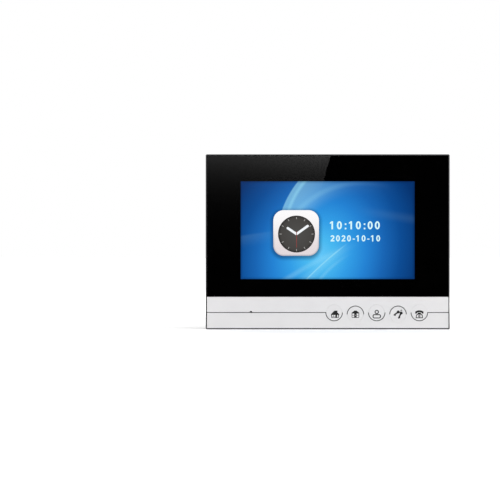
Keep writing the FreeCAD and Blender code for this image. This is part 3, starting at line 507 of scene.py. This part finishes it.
def stand_up(obj, origin, unit):
    """Turns a flat drawing into the XZ plane, facing -Y, scaled by unit."""
    for v in obj.data.vertices:
        flat_x, flat_z, depth = v.co
        v.co = origin + unit * Vector((flat_x, -depth, flat_z))


def mesh_from_curve(curve, name):
    """A closed mesh object made from a filled curve."""
    draft = bpy.data.objects.new(name + "_draft", curve)
    bpy.context.scene.collection.objects.link(draft)
    bpy.context.view_layer.update()
    filled = draft.evaluated_get(bpy.context.evaluated_depsgraph_get())
    mesh = bpy.data.meshes.new_from_object(filled)
    bpy.data.objects.remove(draft)
    mesh.name = name
    shape = bmesh.new()
    shape.from_mesh(mesh)
    bmesh.ops.remove_doubles(shape, verts=shape.verts, dist=WELD)
    bmesh.ops.recalc_face_normals(shape, faces=shape.faces)
    shape.to_mesh(mesh)
    shape.free()
    obj = bpy.data.objects.new(name, mesh)
    bpy.context.scene.collection.objects.link(obj)
    return obj


def flat_piece(name, loops, origin, unit, thickness, material, body):
    """A thin solid drawn by loops, with inner loops as holes, whose back lies at the origin."""
    curve = bpy.data.curves.new(name, "CURVE")
    curve.dimensions = "2D"
    curve.fill_mode = "BOTH"
    curve.extrude = thickness / unit / 2
    for loop in loops:
        spline = curve.splines.new("POLY")
        spline.points.add(len(loop) - 1)
        spline.use_cyclic_u = True
        for point, (px, pz) in zip(spline.points, loop):
            point.co = (px, pz, 0, 1)
    obj = mesh_from_curve(curve, name)
    stand_up(obj, Vector(origin) - Vector((0.0, thickness / 2, 0.0)), unit)
    obj.data.materials.append(material)
    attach(obj, body)


# Measures of the numerals, in shares of their height.
NUMERAL_WIDTH = 0.63
STROKE = 0.2
NUMERAL_STEP = 0.885
SIGN_STEP = 0.58
SIGN_X = 0.2


def zero():
    """Upright oval ring."""
    mid = NUMERAL_WIDTH / 2
    inner = mid - STROKE
    return [circle(mid, 0.5, mid, tall=0.5 / mid), circle(mid, 0.5, inner, tall=0.31 / inner)]


def one():
    """Stem with a flag."""
    right, flag = 0.42, 0.03
    left = right - STROKE
    return [[(left, 0), (right, 0), (right, 1), (0.26, 1), (flag, 0.84), (flag, 0.66), (left, 0.76)]]


def two():
    """Hook that runs down into a foot."""
    mid = NUMERAL_WIDTH / 2
    over = arc(mid, 1 - mid, mid, 170, -38)
    under = arc(mid, 1 - mid, mid - STROKE, -38, 170)
    foot = [(0.29, STROKE), (NUMERAL_WIDTH, STROKE), (NUMERAL_WIDTH, 0), (0, 0), (0.02, 0.14)]
    return [over + foot + under]


def colon():
    """Two square dots."""
    return [box(SIGN_X, z, STROKE, STROKE) for z in (0.64, 0.1)]


def hyphen():
    """Short bar."""
    return [box(SIGN_X, 0.38, 0.36, 0.17)]


MARKS = {"0": zero, "1": one, "2": two, ":": colon, "-": hyphen}


def line_of_numerals(text, x, z, h):
    """Loops of a line of numerals h high whose lower left corner lies at (x, z)."""
    loops = []
    pen = x
    for mark in text:
        loops += [[(pen + px * h, z + pz * h) for px, pz in loop] for loop in MARKS[mark]()]
        pen += h * (NUMERAL_STEP if mark.isdigit() else SIGN_STEP)
    return loops


# ---------------------------------------------------------------- the lit picture
GLOW = 1.1  # strength of the picture's light


def glow(name, colour_of):
    """A material of the lit picture: colour_of(tree) gives its colour."""
    material, tree, shader = new_material(name)
    shader.inputs["Base Color"].default_value = grey(0.0)
    shader.inputs["Roughness"].default_value = 0.6
    shader.inputs["Specular IOR Level"].default_value = 0.0
    feed(tree, shader.inputs["Emission Color"], colour_of(tree))
    shader.inputs["Emission Strength"].default_value = GLOW
    return material


def picture_axes(tree):
    """Fields u and v: hundredths of the picture's width right of and above its centre."""
    split = tree.nodes.new("ShaderNodeSeparateXYZ")
    tree.links.new(place(tree), split.inputs["Vector"])
    u = (Field(tree, split.outputs["X"]) - PIC_CX) / PIC_UNIT
    v = (Field(tree, split.outputs["Z"]) - PIC_CZ) / PIC_UNIT
    return u, v


# Places and sizes in the picture, in hundredths of its width from its centre.
ICON_U, ICON_V, ICON_SIDE, ICON_R = -18.1, -1.6, 26.3, 6.0  # the clock's plate
DIAL_U, DIAL_V, DIAL_R = -17.85, -2.2, 10.65
TICK_LENGTH, TICK_WIDTH, TICK_INSET = 0.9, 0.35, 1.0
HOUR_HAND, MINUTE_HAND, SECOND_HAND = 6.1, 7.9, 7.6
HAND_WIDTH, SECOND_WIDTH, SECOND_TAIL = 1.35, 0.4, 1.5
TIME_U, TIME_V, TIME_HEIGHT = 1.21, 0.53, 4.65
DATE_U, DATE_V, DATE_HEIGHT = 1.68, -6.46, 3.58
PICTURE_MARGIN = 0.6  # hidden under the print

# Three places on each arc of the wallpaper, from its left end to its right end.
BAND_LEFT = (-26.0, 12.1), (-22.5, 19.8), (-16.7, 28.4)
BAND_RIGHT = (-14.8, 12.2), (0.5, 22.5), (24.2, 26.3)
INNER_RAY = (-21.9, 12.8), (-18.0, 21.1), (-12.9, 28.4)
BROAD_RAY = (-23.1, -27.8), (-14.2, -22.4), (-5.2, -17.3)
THIRD_RAY = (-4.0, -27.8), (2.4, -21.1), (8.8, -16.0)
LEFT_VEIL = (-49.3, -3.2), (-41.0, -1.9), (-31.4, -0.6)


def circle_through(start, middle, end):
    """Centre and radius of the circle through three places."""
    near_u, near_v = middle[0] - start[0], middle[1] - start[1]
    far_u, far_v = end[0] - start[0], end[1] - start[1]
    near, far = near_u**2 + near_v**2, far_u**2 + far_v**2
    twist = 2 * (near_u * far_v - near_v * far_u)
    out_u = (far_v * near - near_v * far) / twist
    out_v = (near_u * far - far_u * near) / twist
    return start[0] + out_u, start[1] + out_v, math.hypot(out_u, out_v)


def off_arc(u, v, places):
    """Distance outside the circle through three places of the picture, negative inside it."""
    centre_u, centre_v, radius = circle_through(*places)
    return hypot(u - centre_u, v - centre_v) - radius


def upper_band(u, v):
    """Light of the broad band that sweeps from behind the clock up to the right."""
    left = off_arc(u, v, BAND_LEFT)
    right = off_arc(u, v, BAND_RIGHT)
    upper = v.fade(-6.0, 14.0)
    inside = left.fade(0.4, -0.4) * upper
    fall = u.fade(32.0, -22.0)
    band = inside * right.fade(-8.0, 2.0) * (fall * fall * 0.36 + u.fade(42.0, 16.0) * 0.03)
    rim = inside * left.fade(-5.0, 0.0) * u.fade(0.0, -12.0) * 0.1
    ray = off_arc(u, v, INNER_RAY).spot(1.7) * upper * u.fade(10.0, -6.0) * 0.22
    crest = (right - 0.8).spot(2.6) * upper * u.fade(40.0, -6.0) * 0.1
    return band + rim + ray + crest


def lower_rays(u, v):
    """Light of the thin bright line and the soft rays that rise from the lower edge."""
    along = u + 4.0
    line = v + 20.4 - along * 0.92 + along * along * 0.006
    lower = v.fade(-6.0, -16.0)
    thin = line.spot(0.9) * v.fade(-6.5, -13.0) * 0.45
    above = line.fade(7.0, 0.0) * line.fade(-0.2, 0.3) * lower * 0.14
    below = line.fade(-7.0, 0.0) * line.fade(0.3, -0.2) * lower * 0.2
    broad = off_arc(u, v, BROAD_RAY).spot(2.4) * v.fade(-9.0, -19.0) * 0.2
    third = off_arc(u, v, THIRD_RAY).spot(1.6) * v.fade(-12.0, -22.0) * 0.2
    return thin + above + below + broad + third


def side_veils(u, v):
    """Faint light that enters from the left and the right edge."""
    left = off_arc(u, v, LEFT_VEIL)
    from_left = left.fade(0.8, -0.8) * left.fade(-8.0, 0.0) * u.fade(-22.0, -42.0) * 0.05
    from_right = ((u - 30.0) * 0.16 + v - 9.5).spot(4.0) * u.fade(14.0, 32.0) * 0.03
    return from_left + from_right


def wallpaper_colour(tree):
    """Blue glow with sweeping light bands and the soft shadow of the clock."""
    u, v = picture_axes(tree)
    rise = v + 14.4
    spread = hypot((u + 4.4 - rise * 0.09) / 60.9, rise / 71.25)
    base = ramp(tree, spread, [(0.0, srgb(100, 200, 250)), (0.12, srgb(74, 186, 242)),
                               (0.28, srgb(51, 158, 231)), (0.44, srgb(37, 131, 212)),
                               (0.6, srgb(26, 102, 181)), (0.76, srgb(14, 77, 149)),
                               (0.96, srgb(8, 52, 112))])
    light = upper_band(u, v) + lower_rays(u, v) + side_veils(u, v)
    lit = mix(tree, light, base, srgb(160, 230, 252))
    shade = plate_distance(u, v, drop=0.7).fade(2.8, -0.6) * 0.6
    dimmed = mix(tree, shade, lit, srgb(6, 30, 70))
    side = (u.math("ABSOLUTE") - PIC_HALF_U).fade(-1.6, 0.0)
    end = (v.math("ABSOLUTE") - PIC_HALF_V).fade(-1.6, 0.0)
    return mix(tree, side.math("MAXIMUM", end) * 0.35, dimmed, srgb(10, 30, 64))


def plate_distance(u, v, drop=0.0):
    """Distance outside the clock's plate; drop shifts the plate down."""
    reach = ICON_SIDE / 2 - ICON_R
    out_u = ((u - ICON_U).math("ABSOLUTE") - reach).math("MAXIMUM", 0.0)
    out_v = ((v - ICON_V + drop).math("ABSOLUTE") - reach).math("MAXIMUM", 0.0)
    return hypot(out_u, out_v) - ICON_R


def plate_colour(tree):
    """Clock plate: white, a little warm and grey low down, with a soft rim below."""
    u, v = picture_axes(tree)
    fall = (v - ICON_V).fade(ICON_SIDE / 2, -ICON_SIDE / 2)
    face = ramp(tree, fall, [(0.0, srgb(253, 252, 253)), (0.5, srgb(242, 236, 236)),
                             (1.0, srgb(228, 219, 221))])
    rim = plate_distance(u, v).fade(-1.2, 0.2) * fall.fade(0.3, 1.0)
    return mix(tree, rim * 0.6, face, srgb(120, 130, 150))


def dial_colour(tree):
    """Dial: dark grey, darker at its edge."""
    u, v = picture_axes(tree)
    out = hypot(u - DIAL_U, v - DIAL_V) / DIAL_R
    return ramp(tree, out, [(0.0, srgb(80, 79, 77)), (0.85, srgb(72, 70, 68)), (1.0, srgb(46, 45, 45))])


def ink(tree, darker, lighter):
    """A drawing colour with a trace of cloud in it."""
    return mix(tree, noise(tree, place(tree), 300.0), darker, lighter)


def white_ink(tree):
    """Hour hand and minute hand."""
    return ink(tree, srgb(240, 248, 255), srgb(255, 255, 255))


def pale_ink(tree):
    """Numerals, white with a trace of the picture's blue."""
    return ink(tree, srgb(208, 250, 255), srgb(228, 253, 255))


def tick_ink(tree):
    """Hour marks, dimmer than the hands."""
    return ink(tree, srgb(150, 150, 148), srgb(190, 188, 186))


def red_ink(tree):
    """Second hand."""
    return ink(tree, srgb(120, 62, 60), srgb(150, 76, 72))


def picture_piece(name, loops, layer, material):
    """One drawn layer of the picture, in hundredths of the picture's width."""
    y = PICTURE_Y - layer * LAYER
    flat_piece(name, loops, (PIC_CX, y, PIC_CZ), PIC_UNIT, 0.9 * LAYER, material, "monitor")


def hour_mark(hour):
    """Loop of one hour's mark near the dial's edge."""
    reach = DIAL_R - TICK_INSET - TICK_LENGTH
    angle = 30 * hour
    around = math.radians(angle)
    return bar(DIAL_U + reach * math.sin(around), DIAL_V + reach * math.cos(around), TICK_LENGTH, TICK_WIDTH,
               angle)


def hand(length, angle, width=HAND_WIDTH, tail=0.0):
    """Loop of one hand of the clock."""
    return bar(DIAL_U, DIAL_V, length, width, angle, tail)


def build_clock():
    """Plate, dial, hour marks and hands."""
    plate = round_box(ICON_U, ICON_V, ICON_SIDE, ICON_SIDE, ICON_R)
    picture_piece("clock_plate", [plate], 1, glow("clock_plate", plate_colour))
    picture_piece("clock_dial", [circle(DIAL_U, DIAL_V, DIAL_R, 96)], 2, glow("clock_dial", dial_colour))
    picture_piece("clock_ticks", [hour_mark(hour) for hour in range(12)], 3, glow("clock_ticks", tick_ink))
    white = glow("white_ink", white_ink)
    picture_piece("hour_hand", [hand(HOUR_HAND, -56)], 3, white)
    picture_piece("minute_hand", [hand(MINUTE_HAND, 54)], 4, white)
    picture_piece("second_hand", [hand(SECOND_HAND, 180, SECOND_WIDTH, SECOND_TAIL)], 5,
                  glow("red_ink", red_ink))


def build_picture():
    """Wallpaper, clock, time and date."""
    wallpaper = box(0, 0, 2 * PIC_HALF_U + PICTURE_MARGIN, 2 * PIC_HALF_V + PICTURE_MARGIN)
    picture_piece("picture", [wallpaper], 0, glow("wallpaper", wallpaper_colour))
    build_clock()
    pale = glow("pale_ink", pale_ink)
    picture_piece("time_numerals", line_of_numerals("10:10:00", TIME_U, TIME_V, TIME_HEIGHT), 1, pale)
    picture_piece("date_numerals", line_of_numerals("2020-10-10", DATE_U, DATE_V, DATE_HEIGHT), 1, pale)


# ---------------------------------------------------------------- symbols on the keys, in millimetres
def mirrored(points):
    """The other half of a symmetrical outline, from top to bottom."""
    return [(-px, pz) for px, pz in reversed(points)]


def home_symbol():
    """House with a heavy roof, a chimney, windows and a door."""
    roof = [(-2.8, 0.2), (0.0, 3.0), (0.5, 3.3), (2.9, 3.3), (2.9, 1.7), (4.4, 0.2)]
    outline = roof + [(4.0, -3.2), (-2.4, -3.2)]
    windows = [box(-1.25, -1.2, 1.3, 1.3), box(0.45, -1.2, 1.3, 1.3), box(-0.4, -2.45, 3.0, 0.5)]
    side = box(3.1, -1.6, 1.0, 2.2)
    return [outline, *windows, side]


def camera_symbol():
    """Camera with a raised finder, light sides and a round lens."""
    half = [(2.8, -3.1), (3.3, -2.6), (3.3, 1.2), (2.9, 1.9), (2.2, 2.2), (1.1, 3.3)]
    body = half + mirrored(half)
    panes = [box(side * 1.95, z, 1.7, 1.5) for side in (-1, 1) for z in (0.0, -1.8)]
    return [body, *panes, circle(0.0, -0.8, 0.3, 16)]


def call_symbol():
    """Outline of a person's head and shoulders."""
    line, head_r, corner = 0.85, 1.9, 1.6
    head_z = 2.1
    head = [circle(0.0, head_z, head_r), circle(0.0, head_z, head_r - line)]
    width, height, low = 7.4, 3.8, -3.65
    outer = round_box(0.0, low + height / 2, width, height, corner)
    inner = round_box(0.0, low + height / 2, width - 2 * line, height - 2 * line, corner - line)
    return head + [outer, inner]


def one_key(x, z, length, angle):
    """Outline of one key with its bow at (x, z)."""
    half, bow_r, bit_w = 0.65, 1.35, 1.25
    joint = math.degrees(math.asin(half / bow_r))
    bow = arc(0, 0, bow_r, joint, 360 - joint, 14)
    bit = length - 1.6
    tip = [(length - 0.6, -half), (length, 0.0), (length - 0.5, half)]
    teeth = [(bit + 0.8, half), (bit + 0.6, bit_w), (bit, bit_w), (bit - 0.3, half)]
    return turned(bow + tip + teeth, angle, x, z)


def unlock_symbol():
    """A pair of keys hung from one ring."""
    ring = [circle(2.9, 3.5, 0.75, 20), circle(2.9, 3.5, 0.3, 16)]
    return [one_key(0.2, 2.1, 5.2, 217), one_key(2.75, 1.15, 5.6, 243), *ring]


def talk_symbol():
    """Telephone with its handset across the top."""
    over, under = arc(0, -2.4, 6.0, 128, 52, 14), arc(0, -2.4, 4.3, 58, 122, 10)
    end = [(3.7, 0.7), (2.3, 0.6)]
    handset = over + end + under + mirrored(end)
    base_half = [(3.2, -3.4), (2.9, -0.3), (1.8, 0.2), (1.2, 1.5)]
    inside_half = [(2.4, -2.7), (2.2, -0.9), (1.2, -0.3)]
    dial = [circle(0.0, -1.6, 1.0, 24), circle(0.0, -1.6, 0.4, 20)]
    return [handset, base_half + mirrored(base_half), inside_half + mirrored(inside_half), *dial]


def key_ink():
    """Black printing ink on the keys."""
    return moulded("key_ink", srgb(8, 8, 9), 0.6, grain=4000.0, depth=0.002 * MM, wear=0.0)


def felt():
    """Black woven dust cloth."""
    return moulded("felt", srgb(14, 14, 15), 0.9, grain=4000.0, depth=0.05 * MM, wear=0.0)


def front_centre(node):
    """Middle of a node's front face."""
    low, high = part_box(node)
    return (low.x + high.x) / 2, low.y, (low.z + high.z) / 2


CLOTH_SHARE = 0.9  # the cloth's diameter in shares of the microphone's


def cover_microphone():
    """Lays the dust cloth over the microphone's face, behind the sound hole."""
    low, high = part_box("microphone")
    radius = CLOTH_SHARE * (high.x - low.x) / 2
    flat_piece("mic_felt", [circle(0, 0, radius)], front_centre("microphone"), 1.0, CLOTH_T, felt(),
               "monitor")


SYMBOLS = {"home": home_symbol, "camera": camera_symbol, "call": call_symbol, "unlock": unlock_symbol,
           "talk": talk_symbol}


def print_keys():
    """Prints each key's symbol on its cap, all at the height of the camera key."""
    black = key_ink()
    z = front_centre("camera_key")[2]
    for name, symbol in SYMBOLS.items():
        x, y, _ = front_centre(name + "_key")
        flat_piece(name + "_symbol", symbol(), (x, y, z), MM, INK_T, black, name + "_button")


# ---------------------------------------------------------------- studio
VIEW_LENS = 200.0
SENSOR = 36.0
VIEW_WIDTH = 2.0495 * FRONT_W  # width the camera sees at the front
VIEW_DISTANCE = VIEW_WIDTH * VIEW_LENS / SENSOR
VIEW_X = -0.3185 * FRONT_W
VIEW_Z = -0.0335 * FRONT_W
FAR = 100 * FRONT_W

SKY_LIGHT = 0.5
FLOOR_NEAR, FLOOR_FAR = 1.5 * FRONT_W, 5 * FRONT_W  # where the floor starts to fade and where it has faded
FLOOR_NEAR_GLOW, FLOOR_FAR_GLOW = 0.12, 0.72

# Soft lamps: place and size in metres, power in watts.
LAMPS = {"key_light": ((0.3, -1.2, 1.6), 1.3, 16.0),
         "right_light": ((1.4, -0.4, 0.9), 0.9, 12.0),
         "back_light": ((-0.4, 1.4, 1.2), 0.9, 15.0)}

# The soft window that the glass mirrors, in shares of the front's width.
WINDOW_RIGHT = 0.014  # its right edge at the top of the front
WINDOW_LEFT = -0.5
WINDOW_SLANT = 0.29  # run of the right edge for each step down
WINDOW_SOFT = 0.002
WINDOW_FALL = 4.7
WINDOW_DIM, WINDOW_BRIGHT = 0.0218, 0.0375


def white_floor():
    """Pale floor whose far part fades into the white surroundings."""
    material, tree, shader = new_material("floor")
    vector = place(tree)
    split = tree.nodes.new("ShaderNodeSeparateXYZ")
    tree.links.new(vector, split.inputs["Vector"])
    away = hypot(Field(tree, split.outputs["X"]), Field(tree, split.outputs["Y"]))
    speck = noise(tree, vector, 60.0)
    feed(tree, shader.inputs["Base Color"], mix(tree, speck, grey(0.9), grey(0.93)))
    shader.inputs["Roughness"].default_value = 0.9
    shader.inputs["Specular IOR Level"].default_value = 0.1
    shader.inputs["Emission Color"].default_value = grey(1.0)
    faded = away.fade(FLOOR_NEAR, FLOOR_FAR)
    feed(tree, shader.inputs["Emission Strength"], faded.between(FLOOR_NEAR_GLOW, FLOOR_FAR_GLOW))
    return material


def floor():
    """Plain pale floor under the object, left out of mirror images."""
    mesh = bpy.data.meshes.new("floor")
    shape = bmesh.new()
    shape.faces.new([shape.verts.new((x, y, FLOOR_Z)) for x, y in box(0, 0, 2 * FAR, 2 * FAR)])
    shape.to_mesh(mesh)
    shape.free()
    obj = bpy.data.objects.new("floor", mesh)
    bpy.context.scene.collection.objects.link(obj)
    obj.data.materials.append(white_floor())
    obj.visible_glossy = False


def softbox(name, where, size, power):
    """A square soft lamp aimed at the front."""
    lamp = bpy.data.lights.new(name, "AREA")
    lamp.size = size
    lamp.energy = power
    obj = bpy.data.objects.new(name, lamp)
    obj.location = where
    obj.rotation_euler = (Vector((0.0, FRONT_Y, 0.0)) - Vector(where)).to_track_quat("-Z", "Y").to_euler()
    obj.visible_camera = False
    bpy.context.scene.collection.objects.link(obj)


def ray_kinds(tree):
    """Fields that are 1 for camera rays and for mirror rays."""
    path = tree.nodes.new("ShaderNodeLightPath")
    return Field(tree, path.outputs["Is Camera Ray"]), Field(tree, path.outputs["Is Glossy Ray"])


def front_mirror(tree):
    """Light that the level front mirrors to the viewer, and a field that is 1 away from that direction.

    It is dark, but for a slanted soft window at the front's upper left.
    """
    coords = tree.nodes.new("ShaderNodeTexCoord")
    split = tree.nodes.new("ShaderNodeSeparateXYZ")
    tree.links.new(coords.outputs["Generated"], split.inputs["Vector"])
    side, depth, rise = (Field(tree, split.outputs[axis]) for axis in "XYZ")
    ahead = depth.math("ABSOLUTE").math("MAXIMUM", 0.01)
    x = (side / ahead * VIEW_DISTANCE + VIEW_X) / FRONT_W
    z = (rise / ahead * VIEW_DISTANCE + VIEW_Z) / FRONT_W
    top = -FLOOR_Z / FRONT_W
    right_edge = (x - (z - top) * WINDOW_SLANT - WINDOW_RIGHT).fade(WINDOW_SOFT, -WINDOW_SOFT)
    above_top = (z / top - 1.0).math("MINIMUM", 0.2).math("MAXIMUM", -4.0)
    fall = (above_top * WINDOW_FALL).math("EXPONENT")
    window = right_edge * fall * x.fade(WINDOW_LEFT, WINDOW_RIGHT).between(WINDOW_DIM, WINDOW_BRIGHT)
    return window / GLASS_MIRROR, depth.fade(-0.9, -0.7)


def sky():
    """White surroundings, kept dark where the level front would mirror them."""
    world = bpy.data.worlds.new("studio")
    bpy.context.scene.world = world
    world.use_nodes = True
    tree = world.node_tree
    seen, mirrored_ray = ray_kinds(tree)
    window, elsewhere = front_mirror(tree)
    mirror_light = elsewhere * SKY_LIGHT + window * (1.0 - elsewhere)
    other_light = seen.between(SKY_LIGHT, 1.0)
    light = mirrored_ray * mirror_light + (1.0 - mirrored_ray) * other_light
    background = tree.nodes["Background"]
    background.inputs["Color"].default_value = grey(1.0)
    feed(tree, background.inputs["Strength"], light)


def camera():
    """Long lens, level and square to the front, aimed left of the object."""
    lens = bpy.data.cameras.new("camera")
    lens.lens = VIEW_LENS
    lens.clip_end = 2 * FAR
    obj = bpy.data.objects.new("camera", lens)
    obj.location = (VIEW_X, FRONT_Y - VIEW_DISTANCE, VIEW_Z)
    obj.rotation_euler = (math.pi / 2, 0, 0)
    bpy.context.scene.collection.objects.link(obj)
    bpy.context.scene.camera = obj


def studio():
    """Floor, lamps, surroundings and camera."""
    floor()
    sky()
    for name, (where, size, power) in LAMPS.items():
        softbox(name, where, size, power)
    camera()
    bpy.context.scene.view_settings.view_transform = "Standard"


dress_cad_nodes()
build_picture()
print_keys()
cover_microphone()
studio()
